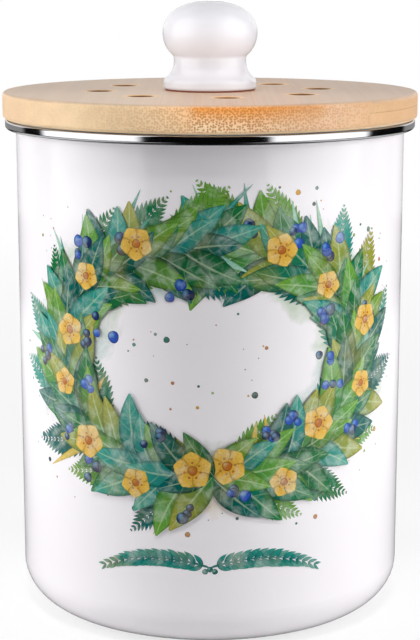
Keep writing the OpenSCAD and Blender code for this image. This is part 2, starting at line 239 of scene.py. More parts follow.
def add_softbox(name, azimuth, elevation, distance, width, height, radiance):
    """A rectangular lamp that faces the caddy."""
    lamp = bpy.data.lights.new(name, "AREA")
    lamp.shape = "RECTANGLE"
    lamp.size, lamp.size_y = mm(width), mm(height)
    lamp.energy = radiance * math.pi * lamp.size * lamp.size_y
    aim_lamp(lamp, azimuth, elevation, distance, SOFTBOX_AIM)


def add_spot(name, elevation, distance, target, cone, radius, power):
    """A soft spot in front, which fades from its middle to its edge."""
    lamp = bpy.data.lights.new(name, "SPOT")
    lamp.spot_size = math.radians(cone)
    lamp.spot_blend = 1.0
    lamp.shadow_soft_size = mm(radius)
    lamp.energy = power
    aim_lamp(lamp, 0, elevation, distance, target)


def floor_paper():
    """White studio paper, which the camera sees fade into the backdrop. In reflections it is dark in front
    of the caddy and bright close by at either side."""
    material, tree, place = blank_material("studio_paper_white")
    reach = add(tree, "VectorMath", [place], operation="LENGTH")
    parts = add(tree, "SeparateXYZ", [place])
    aside = add(tree, "Math", [parts.outputs["X"]], operation="ABSOLUTE")
    beside = add(tree, "MapRange", [aside, *map(mm, SIDE_STARTS), 0.0, FLOOR_SIDE_GLOSS],
                 interpolation_type="SMOOTHSTEP")
    near = add(tree, "MapRange", [reach, *map(mm, SIDE_ENDS), 1.0, 0.0], interpolation_type="SMOOTHSTEP")
    gloss = add(tree, "Math", [beside, near, FLOOR_GLOSS], operation="MULTIPLY_ADD")
    bounce = add(tree, "Mix", [ray_is_any(tree, "Is Diffuse Ray"), linear(FLOOR_WHITE), grey(FLOOR_BOUNCE)],
                 data_type="RGBA")
    tone = add(tree, "Mix", [ray_is_any(tree, "Is Glossy Ray"), bounce, gloss], data_type="RGBA")
    fade = add(tree, "MapRange", [reach, *map(mm, BACKDROP_STARTS), BACKDROP_SHARE, 1.0])
    direct = ray_is_any(tree, "Is Camera Ray", "Is Transmission Ray")
    white = add(tree, "Math", [fade, direct], operation="MULTIPLY")
    paper = add(tree, "BsdfDiffuse", [tone])
    glow = add(tree, "Emission", [grey(1)])
    add(tree, "OutputMaterial", [add(tree, "MixShader", [white, paper, glow])])
    return material


def add_floor():
    """A pale round sweep under the caddy."""
    mesh = bpy.data.meshes.new("floor")
    turns = [math.tau * i / FLOOR_SEGMENTS for i in range(FLOOR_SEGMENTS)]
    ring = [(mm(FLOOR_RADIUS) * math.cos(turn), mm(FLOOR_RADIUS) * math.sin(turn), 0) for turn in turns]
    mesh.from_pydata(ring, [], [range(FLOOR_SEGMENTS)])
    mesh.materials.append(floor_paper())
    put_in_scene("floor", mesh)


# -------- materials

ENAMEL_WHITE, ENAMEL_SHADE = "#FBF8FC", "#F7F3F7"
ENAMEL_ROUGHNESS = 0.09
ENAMEL_IOR = 1.52


def enamel_gloss(tree, colour, place):
    """Fired vitreous enamel: a glassy coat with a very faint orange-peel swell, over any colour."""
    swell = add(tree, "TexNoise", {"Vector": place, "Scale": per_mm(5), "Detail": 1.0})
    bump = add(tree, "Bump", {"Height": swell, "Strength": 0.25, "Distance": mm(0.02)})
    return add(tree, "BsdfPrincipled", {
        "Base Color": colour, "Roughness": ENAMEL_ROUGHNESS, "IOR": ENAMEL_IOR, "Normal": bump})


def enamel_white(tree, place):
    """The coat's cool white, barely darker where it varies."""
    drift = add(tree, "TexNoise", {"Vector": place, "Scale": per_mm(38)})
    return add(tree, "Mix", [drift, linear(ENAMEL_WHITE), linear(ENAMEL_SHADE)], data_type="RGBA")


def vitreous_enamel():
    """White enamel fused on steel: an even, cool, glassy white."""
    material, tree, place = blank_material("vitreous_enamel_fired")
    add(tree, "OutputMaterial", [enamel_gloss(tree, enamel_white(tree, place), place)])
    return material


def polished_stainless():
    """Stainless strip, rolled round the hem and mirror polished: hairline buffing marks run along it."""
    material, tree, place = blank_material("stainless_steel_mirror_polished")
    marks = add(tree, "Mapping", {"Vector": place, "Scale": (0.06, 0.06, 1.0)})
    hairlines = add(tree, "TexNoise", {"Vector": marks, "Scale": per_mm(0.35), "Detail": 3.0})
    roughness = add(tree, "MapRange", [hairlines, 0.3, 0.7, 0.05, 0.11])
    bump = add(tree, "Bump", {"Height": hairlines, "Strength": 0.05, "Distance": mm(0.01)})
    steel = add(tree, "BsdfPrincipled", {
        "Base Color": linear("#D3D3D6"), "Metallic": 1.0, "Roughness": roughness, "Normal": bump})
    add(tree, "OutputMaterial", [steel])
    return material


# The lid is glued up from strips that run from front to back, where their bundles of fibre show end on.
BAMBOO_HALF_WIDTH = 90.0
# place across the lid in mm, tone of the ground tissue
BAMBOO_TONES = (
    (-85, "#DFBD97"), (-45, "#F6D6AA"), (-8, "#FFDEB2"), (-5, "#FFE4BC"), (24, "#F4D0A8"), (46, "#E6BE98"),
    (60, "#DAAF84"), (62, "#DAB083"), (85, "#D5AC83"),
)
# place across in mm, share of the bundles that shows at mid height, how much more shows for the board's
# full height, how dark they are
BUNDLE_CROWDS = (
    (-85, 0.20, 0.00, 0.00), (-52, 0.40, 0.05, 0.04), (-32, 0.75, 0.10, 0.20), (-8, 0.92, 0.15, 0.50),
    (-5, 0.95, 0.60, 0.78), (15, 0.97, 0.60, 0.80), (26, 0.95, 0.50, 0.54), (40, 0.92, 0.30, 0.44),
    (52, 0.60, 0.10, 0.34), (60, 0.40, 0.10, 0.24), (62, 0.25, 0.00, 0.14), (85, 0.15, 0.00, 0.04),
)
BUNDLE_PITCH = 0.95   # mm between fibre bundles
BUNDLE_BROWN = "#C67B34"
MERGED_ORANGE = "#EE9E4C"   # where the bundles crowd into one
# The flat faces' tan is partly the face grain's own tone and partly a painted sheen that greys it
FACE_TAN_AND_SHEEN = "#CBB099"  # the flat faces

# place of each joint between strips in mm, strength of its glue line
GLUE_LINES = ((-47.0, 0.10), (-6.8, 0.25), (23.7, 0.14), (60.6, 0.50))
GLUE_WIDTH = 0.16     # mm
GLUE_BROWN = "#A46E3C"
LAYER_HEIGHT = 5.9    # mm from the underside to the joint between two layers
LAYER_GAP = 0.18      # mm, half of that joint's width
LAYER_STARTS = (60.5, 61)   # mm across, where it begins to show

ARRIS_HIGHLIGHT_HEIGHTS = (0.6, 1.0)   # mm above the underside where the painted highlight on the lower arris ends
ARRIS_HIGHLIGHT_PALE = "#FFDDAE"
VENT_RING, VENT_FIRST, VENT_COUNT = 45.5, 8.4, 8   # mm, degrees, number
VENT_REACH = 5.35     # mm from a vent's axis to just past its wall
OILED_RING = 3.0      # mm that the oil has crept into the board round a vent
OILED_GOLD = "#ECC08A"
# Painted shade on the vents' walls: the mm past the wall over which it fades out, and its brown
VENT_SHADE_FADE = 0.25   # mm
VENT_SHADE_BROWN = "#6E3810"


def strip_place(x):
    """A place across the board as a ramp position."""
    return (x / BAMBOO_HALF_WIDTH + 1) / 2


def glue_stops():
    """A ramp's stops that are dark only at the glue lines."""
    stops = [(0.0, grey(0))]
    for x, strength in GLUE_LINES:
        stops += [(strip_place(x - GLUE_WIDTH), grey(0)), (strip_place(x), grey(strength)),
                  (strip_place(x + GLUE_WIDTH), grey(0))]
    return stops


def vent_distance(tree, place):
    """The distance to the nearest vent's axis, by folding the circle."""
    parts = add(tree, "SeparateXYZ", [place])
    turn = add(tree, "Math", [parts.outputs["Y"], parts.outputs["X"]], operation="ARCTAN2")
    step = math.tau / VENT_COUNT
    from_vent = add(tree, "Math", [turn, -math.radians(VENT_FIRST)], operation="ADD")
    folded = add(tree, "Math", [from_vent, step / 2, -step / 2], operation="WRAP")
    flat = add(tree, "CombineXYZ", [parts.outputs["X"], parts.outputs["Y"]])
    radius = add(tree, "VectorMath", [flat], operation="LENGTH")
    cosine = add(tree, "Math", [folded], operation="COSINE")
    sine = add(tree, "Math", [folded], operation="SINE")
    along = add(tree, "Math", [radius, cosine, mm(-VENT_RING)], operation="MULTIPLY_ADD")
    aside = add(tree, "Math", [radius, sine], operation="MULTIPLY")
    return add(tree, "VectorMath", [add(tree, "CombineXYZ", [along, aside])], operation="LENGTH")


def bundle_dots(tree, bent, crowding):
    """1 in a bundle of fibre and 0 between them. crowding is the share of the bundles that shows."""
    cut = add(tree, "SeparateXYZ", [bent])
    section = add(tree, "CombineXYZ", [cut.outputs["X"], cut.outputs["Z"]])
    bundles = add(tree, "TexVoronoi", {"Vector": section, "Scale": per_mm(BUNDLE_PITCH), "Randomness": 0.75},
                  voronoi_dimensions="2D")
    dot = add(tree, "MapRange", [bundles, 0.30, 0.52, 1.0, 0.0], interpolation_type="SMOOTHSTEP")
    chance = add(tree, "SeparateColor", [bundles.outputs["Color"]])
    present = add(tree, "Math", [chance.outputs["Red"], crowding], operation="LESS_THAN")
    return add(tree, "Math", [dot, present], operation="MULTIPLY")


def bamboo_details(tree, place, across, strip, colour):
    """Lays over a colour the glue lines, the joint between two layers, a painted highlight along the lower
    arris, the warm oiled rings round the vents, and painted shade on the vents' walls."""
    low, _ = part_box("lid_board")
    glue = add(tree, "ValToRGB", [strip], glue_stops())
    height = add(tree, "Math", [across.outputs["Z"], -low.z], operation="ADD")
    joint = add(tree, "Math", [height, mm(LAYER_HEIGHT), mm(LAYER_GAP)], operation="COMPARE")
    right = add(tree, "MapRange", [across.outputs["X"], *map(mm, LAYER_STARTS), 0.0, 0.4])
    layered = add(tree, "Math", [joint, right], operation="MULTIPLY")
    lines = add(tree, "Math", [glue, layered], operation="MAXIMUM")
    jointed = add(tree, "Mix", [lines, colour, linear(GLUE_BROWN)], data_type="RGBA")
    # Painted highlight: the lower arris is painted pale, as if lit from below
    arris = add(tree, "MapRange", [height, *map(mm, ARRIS_HIGHLIGHT_HEIGHTS), 0.85, 0.0])
    arris_highlighted = add(tree, "Mix", [arris, jointed, linear(ARRIS_HIGHLIGHT_PALE)], data_type="RGBA")
    to_vent = vent_distance(tree, place)
    oiled = add(tree, "MapRange", [to_vent, mm(VENT_REACH), mm(VENT_REACH + OILED_RING), 0.9, 0.0])
    rung = add(tree, "Mix", [oiled, arris_highlighted, linear(OILED_GOLD)], data_type="RGBA")
    # Painted shade: the vents' walls are painted dark brown
    vent_shade = add(tree, "MapRange", [to_vent, mm(VENT_REACH), mm(VENT_REACH + VENT_SHADE_FADE), 0.92, 0.0])
    return add(tree, "Mix", [vent_shade, rung, linear(VENT_SHADE_BROWN)], data_type="RGBA")


def bamboo():
    """Edge-glued bamboo, sanded and oiled: bundles of fibre show as dots on end grain and as streaks along
    it. The flat faces are partly greyed by a painted sheen, the lower arris carries a painted highlight, and
    the vents' walls painted shade."""
    material, tree, place = blank_material("bamboo_sanded_oiled")
    across = add(tree, "SeparateXYZ", [place])
    facing = add(tree, "SeparateXYZ", [place.node.outputs["Normal"]])
    upright = add(tree, "Math", [facing.outputs["Z"]], operation="ABSOLUTE")
    face = add(tree, "MapRange", [upright, 0.2, 0.9], interpolation_type="SMOOTHSTEP")
    strip = add(tree, "MapRange", [across.outputs["X"], mm(-BAMBOO_HALF_WIDTH), mm(BAMBOO_HALF_WIDTH)])
    tone = add(tree, "ValToRGB", [strip], [(strip_place(x), linear(colour)) for x, colour in BAMBOO_TONES])
    density = add(tree, "ValToRGB", [strip], [
        (strip_place(x), (share, rise / 2, dark, 1)) for x, share, rise, dark in BUNDLE_CROWDS])
    crowd = add(tree, "SeparateColor", [density])

    # Bundles are long in Y and wander a little. They crowd towards the outside of the stalk, which is the
    # top of the board.
    wander = add(tree, "TexNoise", {"Vector": place, "Scale": per_mm(45), "Detail": 1.0})
    bent = add(tree, "VectorMath", [wander.outputs["Color"], (mm(1.6), 0, mm(0.8)), place],
               operation="MULTIPLY_ADD")
    low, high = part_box("lid_board")
    rise = add(tree, "MapRange", [across.outputs["Z"], low.z, high.z, -1.0, 1.0])
    share, extra, dark = [crowd.outputs[channel] for channel in ("Red", "Green", "Blue")]
    crowding = add(tree, "Math", [rise, extra, share], operation="MULTIPLY_ADD")
    dotted = bundle_dots(tree, bent, crowding)

    # Ground tissue: orange where the bundles merge, with fine streaks, and even on the flat faces, whose
    # greyer tan is partly a painted sheen
    streaks = add(tree, "Mapping", {"Vector": bent, "Scale": (1.0, 0.02, 1.0)})
    streak = add(tree, "TexNoise", {
        "Vector": streaks, "Scale": per_mm(0.8), "Detail": 3.0, "Roughness": 0.6})
    along = add(tree, "Mapping", {"Vector": bent, "Scale": (1.0, 0.014, 1.0)})
    patch = add(tree, "TexNoise", {"Vector": along, "Scale": per_mm(6)})
    deep = add(tree, "MapRange", [crowding, 0.84, 1.15, 0.0, 0.95])
    merged = add(tree, "Mix", [deep, tone, linear(MERGED_ORANGE)], data_type="RGBA")
    # Partly painted sheen: the flat faces turn a greyer tan
    face_tone_and_sheen = add(tree, "MapRange", {"Value": face, "To Max": 0.88})
    ground = add(tree, "Mix", [face_tone_and_sheen, merged, linear(FACE_TAN_AND_SHEEN)], data_type="RGBA")
    lit = add(tree, "MapRange", [streak, 0.25, 0.75, 0.93, 1.05])
    shade = add(tree, "MapRange", [patch, 0.3, 0.7, 0.95, 1.04])
    level = add(tree, "Math", [lit, shade], operation="MULTIPLY")
    streaked = add(tree, "VectorMath", [ground, level], operation="SCALE")
    plain = add(tree, "MapRange", {"Value": face, "To Min": 1.0, "To Max": 0.22})
    darkness = add(tree, "Math", [dark, plain], operation="MULTIPLY")
    strength = add(tree, "Math", [dotted, darkness], operation="MULTIPLY")
    fibres = add(tree, "Mix", [strength, streaked, linear(BUNDLE_BROWN)], data_type="RGBA")

    roughness = add(tree, "MapRange", [streak, 0.3, 0.7, 0.36, 0.48])
    relief = add(tree, "Math", [dotted, -0.12, streak], operation="MULTIPLY_ADD")
    bump = add(tree, "Bump", {"Height": relief, "Strength": 0.35, "Distance": mm(0.05)})
    wood = add(tree, "BsdfPrincipled", {
        "Base Color": bamboo_details(tree, place, across, strip, fibres), "Roughness": roughness,
        "IOR": 1.47, "Normal": bump})
    add(tree, "OutputMaterial", [wood])
    return material


def glazed_stoneware():
    """White glaze on stoneware: a deep even gloss with slow swells and a few pin-sized specks."""
    material, tree, place = blank_material("stoneware_white_glazed")
    pooling = add(tree, "TexNoise", {"Vector": place, "Scale": per_mm(14)})
    body = add(tree, "Mix", [pooling, linear("#D6D5DA"), linear("#D0CFD4")], data_type="RGBA")
    specks = add(tree, "TexVoronoi", {"Vector": place, "Scale": per_mm(4.5)})
    speck = add(tree, "MapRange", [specks, 0.02, 0.045, 0.35, 0.0])
    colour = add(tree, "Mix", [speck, body, linear("#BDB3A8")], data_type="RGBA")
    bump = add(tree, "Bump", {"Height": pooling, "Strength": 0.2, "Distance": mm(0.05)})
    glaze = add(tree, "BsdfPrincipled", {
        "Base Color": colour, "Roughness": 0.12, "IOR": 1.48, "Normal": bump})
    add(tree, "OutputMaterial", [glaze])
    return material


def moulded_polypropylene(name, light, dark):
    """Injection-moulded polypropylene: slightly milky, with a fine spark-eroded grain and faint flow."""
    material, tree, place = blank_material(name)
    flow = add(tree, "TexNoise", {"Vector": place, "Scale": per_mm(22), "Distortion": 0.6})
    colour = add(tree, "Mix", [flow, linear(light), linear(dark)], data_type="RGBA")
    grain = add(tree, "TexNoise", {"Vector": place, "Scale": per_mm(0.5)})
    roughness = add(tree, "MapRange", [grain, 0.3, 0.7, 0.38, 0.48])
    bump = add(tree, "Bump", {"Height": grain, "Strength": 0.3, "Distance": mm(0.02)})
    plastic = add(tree, "BsdfPrincipled", {
        "Base Color": colour, "Roughness": roughness, "IOR": 1.49, "Subsurface Weight": 0.08,
        "Subsurface Scale": mm(1.2), "Normal": bump})
    add(tree, "OutputMaterial", [plastic])
    return material


def moulded_silicone():
    """Soft moulded silicone: matt and cloudy, with a bloom of fine dust."""
    material, tree, place = blank_material("silicone_moulded_matt")
    cloud = add(tree, "TexNoise", {"Vector": place, "Scale": per_mm(9), "Detail": 3.0})
    colour = add(tree, "Mix", [cloud, linear("#E2E1DC"), linear("#CFCEC8")], data_type="RGBA")
    bloom = add(tree, "TexNoise", {"Vector": place, "Scale": per_mm(0.6)})
    bump = add(tree, "Bump", {"Height": bloom, "Strength": 0.25, "Distance": mm(0.02)})
    rubber = add(tree, "BsdfPrincipled", {
        "Base Color": colour, "Roughness": 0.58, "IOR": 1.41, "Subsurface Weight": 0.15,
        "Subsurface Scale": mm(1.5), "Normal": bump})
    add(tree, "OutputMaterial", [rubber])
    return material


def zinc_plated_steel():
    """Zinc-plated steel: a bright, slightly blue plate with a fine crystalline mottle."""
    material, tree, place = blank_material("steel_zinc_plated")
    crystals = add(tree, "TexVoronoi", {"Vector": place, "Scale": per_mm(0.7)})
    tint = add(tree, "SeparateColor", [crystals.outputs["Color"]])
    colour = add(tree, "Mix", [tint, linear("#C3C7CB"), linear("#A8ADB4")], data_type="RGBA")
    roughness = add(tree, "MapRange", {"Value": tint.outputs["Green"], "To Min": 0.26, "To Max": 0.42})
    scratch = add(tree, "TexNoise", {"Vector": place, "Scale": per_mm(0.3)})
    bump = add(tree, "Bump", {"Height": scratch, "Strength": 0.2, "Distance": mm(0.01)})
    steel = add(tree, "BsdfPrincipled", {
        "Base Color": colour, "Metallic": 1.0, "Roughness": roughness, "Normal": bump})
    add(tree, "OutputMaterial", [steel])
    return material


def turned_brass():
    """Brass turned on a lathe: bright, with fine rings from the tool."""
    material, tree, place = blank_material("brass_turned")
    rings = add(tree, "TexWave", {"Vector": place, "Scale": per_mm(1.2), "Distortion": 0.3, "Detail": 1.0},
                bands_direction="Z")
    tarnish = add(tree, "TexNoise", {"Vector": place, "Scale": per_mm(3), "Detail": 3.0})
    colour = add(tree, "Mix", [tarnish, linear("#D9B45C"), linear("#B98F3E")], data_type="RGBA")
    bump = add(tree, "Bump", {"Height": rings.outputs["Fac"], "Strength": 0.3, "Distance": mm(0.02)})
    brass = add(tree, "BsdfPrincipled", {
        "Base Color": colour, "Metallic": 1.0, "Roughness": 0.28, "Normal": bump})
    add(tree, "OutputMaterial", [brass])
    return material


def vulcanised_fibre():
    """Red vulcanised fibre: pressed cotton sheet, matt, with short hairs of lighter fibre."""
    material, tree, place = blank_material("vulcanised_fibre_pressed")
    hairs = add(tree, "TexNoise", {"Vector": place, "Scale": per_mm(1.1), "Detail": 4.0, "Distortion": 2.5})
    colour = add(tree, "Mix", [hairs, linear("#5E2A1E"), linear("#8A4632")], data_type="RGBA")
    bump = add(tree, "Bump", {"Height": hairs, "Strength": 0.4, "Distance": mm(0.03)})
    fibre = add(tree, "BsdfPrincipled", {"Base Color": colour, "Roughness": 0.7, "Normal": bump})
    add(tree, "OutputMaterial", [fibre])
    return material


def carbon_felt():
    """Needled felt loaded with carbon: near black, with matted fibres and specks of grey."""
    material, tree, place = blank_material("carbon_felt_needled")
    mat = add(tree, "TexNoise", {
        "Vector": place, "Scale": per_mm(1.4), "Detail": 5.0, "Roughness": 0.7, "Distortion": 3.0})
    holes = add(tree, "TexVoronoi", {"Vector": place, "Scale": per_mm(2.2)})
    depth = add(tree, "Math", [mat, holes], operation="MULTIPLY")
    fade = add(tree, "MapRange", [mat, 0.45, 0.75])
    colour = add(tree, "Mix", [fade, linear("#1C1C1F"), linear("#4A4A4E")], data_type="RGBA")
    bump = add(tree, "Bump", {"Height": depth, "Strength": 0.9, "Distance": mm(0.25)})
    felt = add(tree, "BsdfPrincipled", {
        "Base Color": colour, "Roughness": 0.95, "Sheen Weight": 0.25, "Sheen Roughness": 0.6,
        "Normal": bump})
    add(tree, "OutputMaterial", [felt])
    return material


def dress_nodes():
    """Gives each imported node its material, and the rim band its fine look."""
    finishes = {
        "white_enamel": vitreous_enamel(),
        "polished_steel": polished_stainless(),
        "liner_plastic": moulded_polypropylene("polypropylene_liner_moulded", "#D2D6D6", "#C4C9CA"),
        "bamboo": bamboo(),
        "silicone": moulded_silicone(),
        "filter_plastic": moulded_polypropylene("polypropylene_filter_moulded", "#DADDDC", "#CDD1D1"),
        "zinc_steel": zinc_plated_steel(),
        "charcoal_felt": carbon_felt(),
        "white_glaze": glazed_stoneware(),
        "brass": turned_brass(),
        "red_fibre": vulcanised_fibre(),
    }
    for part in frame["record"]["subparts"]:
        for holder in frame["nodes"][part["node"]].material_slots:
            holder.material = finishes[part["material_slot"]]
    turn_band(finishes["polished_steel"])


# -------- the rim band

# The mirror finish shows every flat of a coarse mesh, so the band is turned finely, to the section in the
# part: outside and inside radius, bottom and top, sheet thickness, and the rounding of the lower and the
# upper outer edge, in mm.
BAND_OUTSIDE, BAND_INSIDE = 84.4, 80.2
BAND_BOTTOM, BAND_TOP = 199.0, 202.8
BAND_SHEET = 0.8
BAND_LOW_ROUND, BAND_TOP_ROUND = 1.3, 0.8
BAND_SEGMENTS = 256
BAND_ARC_STEPS = 10
BAND_SHARP = math.radians(30)


def band_section():
    """The band in half section, anticlockwise from its lower inner edge, as (radius, height) in mm."""
    section = [(BAND_INSIDE, BAND_BOTTOM)]
    for height, radius, first in ((BAND_BOTTOM + BAND_LOW_ROUND, BAND_LOW_ROUND, -90),
                                  (BAND_TOP - BAND_TOP_ROUND, BAND_TOP_ROUND, 0)):
        for i in range(BAND_ARC_STEPS + 1):
            turn = math.radians(first + 90 * i / BAND_ARC_STEPS)
            out, up = radius * math.cos(turn), radius * math.sin(turn)
            section.append((BAND_OUTSIDE - radius + out, height + up))
    section += [(BAND_INSIDE, BAND_TOP), (BAND_INSIDE, BAND_TOP - BAND_SHEET)]
    section += [(BAND_OUTSIDE - BAND_SHEET, z) for z in (BAND_TOP - BAND_SHEET, BAND_BOTTOM + BAND_SHEET)]
    return section + [(BAND_INSIDE, BAND_BOTTOM + BAND_SHEET)]


def turn_band(material):
    """The rolled rim band, in place of the part's own mesh."""
    section = band_section()
    count = len(section)
    points, faces = [], []
    for i in range(BAND_SEGMENTS):
        turn = math.tau * i / BAND_SEGMENTS
        points += [(mm(r * math.cos(turn)), mm(r * math.sin(turn)), mm(z)) for r, z in section]
        here, ahead = i * count, (i + 1) % BAND_SEGMENTS * count
        for j in range(count):
            following = (j + 1) % count
            faces.append((here + j, ahead + j, ahead + following, here + following))
    mesh = bpy.data.meshes.new("rim_band_turned")
    mesh.from_pydata(points, [], faces)
    mesh.materials.append(material)
    mesh.shade_smooth()
    mesh.set_sharp_from_angle(angle=BAND_SHARP)
    band = put_in_scene("rim_band_turned", mesh)
    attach(band, "pail")
    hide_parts("rim_band")


# -------- the fired print

# The print is drawn on the pail's wall rolled out flat: u is the arc from the front, positive to the right,
# and v the height, both in mm. Each shape lies one thin layer above those that it overlaps.
WALL_RADIUS = 80.0    # outside of the pail's wall
WASH_LIFT = 0.015     # height of the washes over the enamel
FIRST_LIFT = 0.035    # height of the lowest shapes
LAYER = 0.011         # height of each layer above it

PRINT_SEED = 11
PRINT_HALF_U = 96     # the sheet of washes, to either side
PRINT_LOW, PRINT_HIGH = 44, 188   # and from its foot to its top
WASH_STEP = 2         # between its points
WASH_REACH = 0.52     # how far its washes spread from the wreath's middle line, as a share of the wreath
WREATH_V = 116        # height of the wreath's centre
WREATH_HALF_U = 62    # its middle line, rolled out
WREATH_HALF_V = 44

# How many of each grow in either half of the wreath
FRONDS = 9
BLADES = 34
LEAF_ROWS = 26
BERRY_CLUSTERS = 11
# splay from the garland in degrees, length and width in mm, of the broad leaves in a row
LEAF_ROW = ((-48, 27, 11.5), (-14, 25, 10.5), (42, 26, 10.5))
# place along the garland, radius in mm
FLOWERS = ((0.035, 7.5), (0.14, 6.0), (0.27, 7.0), (0.42, 5.6), (0.57, 6.6), (0.72, 5.6), (0.86, 6.6))
PETALS = 5
STAMENS = 7
DROPS = 150
CELL_MARGIN = 0.03    # share of a UV cell that is left free at each side

SPRIG_V = 35.0        # height of the sprigs' foot
SPRIG_LENGTH = 44.0   # of each
SPRIG_PAIRS = 15      # pairs of leaves on each
SPRIG_RISE = 0.32     # heading at the foot, in radians
SPRIG_DROOP = 0.75    # how far it bends down towards the tip


class Print:
    """The outlines of one printed piece, gathered before they become a mesh."""

    def __init__(self, name, layers):
        self.name = name
        self.layers = layers
        self.points, self.faces, self.cells = [], [], []
        self.pigments, self.places = [], []

    def add_grid(self, rows, columns, points, lift, pigments, places):
        """Adds a grid of points, row by row, as one shape in its own cell. Seen from outside, the columns
        run anticlockwise from the rows."""
        start = len(self.points)
        self.points += [(u, v, lift) for u, v in points]
        self.pigments += pigments
        self.places += places
        us, vs = zip(*points)
        span = max(max(us) - min(us), max(vs) - min(vs))
        self.cells.append((start, len(points), min(us), min(vs), span))
        for i in range(rows - 1):
            for j in range(columns - 1):
                a = start + i * columns + j
                self.faces.append((a, a + columns, a + columns + 1, a + 1))


class Layers:
    """Keeps what has been laid down, so that each new shape lies above all that it covers."""

    def __init__(self):
        self.laid = []

    def lift(self, spots):
        """The height for a shape that covers these (u, v, radius) spots."""
        level = 0
        for u, v, r in spots:
            for a, b, s, other in self.laid:
                if other >= level and abs(u - a) < r + s and math.hypot(u - a, v - b) < r + s:
                    level = other + 1
        self.laid += [(u, v, r, level) for u, v, r in spots]
        return FIRST_LIFT + LAYER * level


def blend_colours(a, b, share):
    """A linear mix of two RGBA colours."""
    return tuple(x + (y - x) * share for x, y in zip(a, b))


def leaf(drawing, base, angle, length, width, tones, bend=0.0, belly=0.8, rows=13, columns=7, lift=None):
    """A blade from its base along a bending spine. tones are its colours at base and tip; belly moves its
    widest place, which is nearer the base where it is under 1."""
    points, pigments, places, spots = [], [], [], []
    u, v = base
    step = length / (rows - 1)
    for i in range(rows):
        s = i / (rows - 1)
        heading = angle + bend * s
        half = max(width / 2 * math.sin(math.pi * min(s ** belly, 1)) ** 0.85, width * 0.03)
        for j in range(columns):
            t = 2 * j / (columns - 1) - 1
            points.append((u - math.sin(heading) * half * t, v + math.cos(heading) * half * t))
            pigments.append(blend_colours(*tones, s))
            places.append((s, t, length))
        spots.append((u, v, half))
        u += math.cos(heading) * step
        v += math.sin(heading) * step
    if lift is None:
        lift = drawing.layers.lift(spots[1::3])
    drawing.add_grid(rows, columns, points, lift, pigments, places)


def fern(drawing, base, angle, length, tones, bend, pairs=15):
    """A frond: paired leaflets that shorten towards its tip, on a thin stalk."""
    spots, stalks = [], []
    u, v = base
    step = length / pairs
    for i in range(pairs + 1):
        s = i / pairs
        heading = angle + bend * s
        reach = length * 0.26 * math.sin(math.pi * (0.12 + 0.88 * s) ** 0.8) + 0.8
        stalks.append((u, v, heading, reach, s))
        spots.append((u, v, reach * 0.85))
        u += math.cos(heading) * step
        v += math.sin(heading) * step
    lift = drawing.layers.lift(spots[1::2])
    leaf(drawing, base, angle, length, 1.1, tones, bend, belly=0.35, rows=16, columns=3, lift=lift)
    for u, v, heading, reach, s in stalks[1:]:
        tint = (blend_colours(*tones, s), blend_colours(*tones, min(s + 0.3, 1)))
        splay = math.radians(58 - 16 * s)
        for side, under in ((-1, 0.001), (1, 0.002)):
            leaf(drawing, (u, v), heading + side * splay, reach, reach * 0.24 + 0.5, tint,
                 bend=-side * 0.25, belly=0.75, rows=7, columns=3, lift=lift - under)


def berry(drawing, centre, radius, tones, rings=4, around=18):
    """A round berry with its light at the upper left."""
    points, pigments, places = [], [], []
    for i in range(rings):
        share = max(i / (rings - 1), 0.02)
        for j in range(around + 1):
            turn = math.tau * j / around
            across, up = math.cos(turn), math.sin(turn)
            reach = radius * share * (1 + 0.04 * math.sin(3 * turn + centre[0]))
            points.append((centre[0] + reach * across, centre[1] + reach * up))
            light = max(0.0, 0.75 - 1.1 * math.hypot(share * across + 0.35, share * up - 0.35))
            pigments.append(blend_colours(*tones, light))
            places.append((0.5, share, radius))
    drawing.add_grid(rings, around + 1, points, drawing.layers.lift([(*centre, radius)]), pigments, places)


def flower(petals, hearts, centre, radius, turn, tones, heart):
    """Rounded petals round a dotted heart."""
    lift = petals.layers.lift([(*centre, radius)])
    for k in range(PETALS):
        leaf(petals, centre, turn + k * math.tau / PETALS, radius, radius * 1.02, tones, belly=1.5, rows=8,
             lift=lift + 0.0015 * k)
    berry(hearts, centre, radius * 0.26, heart)
    for k in range(STAMENS):
        spot = turn + 0.3 + k * math.tau / STAMENS
        place = (centre[0] + radius * 0.42 * math.cos(spot), centre[1] + radius * 0.42 * math.sin(spot))
        berry(hearts, place, radius * 0.055 + 0.08, heart, rings=3, around=8)


# Pigments, as they look when fired over white
DEEP_GREEN = linear("#0C4A30")
LEAF_GREEN = linear("#1F7A43")
FRESH_GREEN = linear("#6FA83C")
OLIVE = linear("#A8A63E")
TEAL = linear("#086A68")
SEA_GREEN = linear("#35A190")
MINT = linear("#A9D8BE")
NAVY = linear("#14285A")
COBALT = linear("#2450B4")
SKY = linear("#7FB7E2")
OCHRE = linear("#D39A2E")
GOLD = linear("#EFC65A")
RUST = linear("#B8662A")
INK = linear("#173B3A")

# A shape's tones at base and tip, or in a berry's shade and light
GREENS = ((DEEP_GREEN, LEAF_GREEN), (LEAF_GREEN, FRESH_GREEN), (TEAL, SEA_GREEN), (TEAL, LEAF_GREEN),
          (DEEP_GREEN, TEAL), (LEAF_GREEN, OLIVE), (DEEP_GREEN, FRESH_GREEN))
LOW_BLADES = ((OLIVE, GOLD), (OCHRE, GOLD), (LEAF_GREEN, OLIVE))
HIGH_BLADES = ((SEA_GREEN, MINT), (TEAL, SEA_GREEN), (LEAF_GREEN, MINT))
BERRY_TONES = ((NAVY, SKY), (COBALT, SKY))
DROP_TONES = ((INK, TEAL), (OCHRE, GOLD), (RUST, OCHRE), (TEAL, SEA_GREEN), (FRESH_GREEN, GOLD))


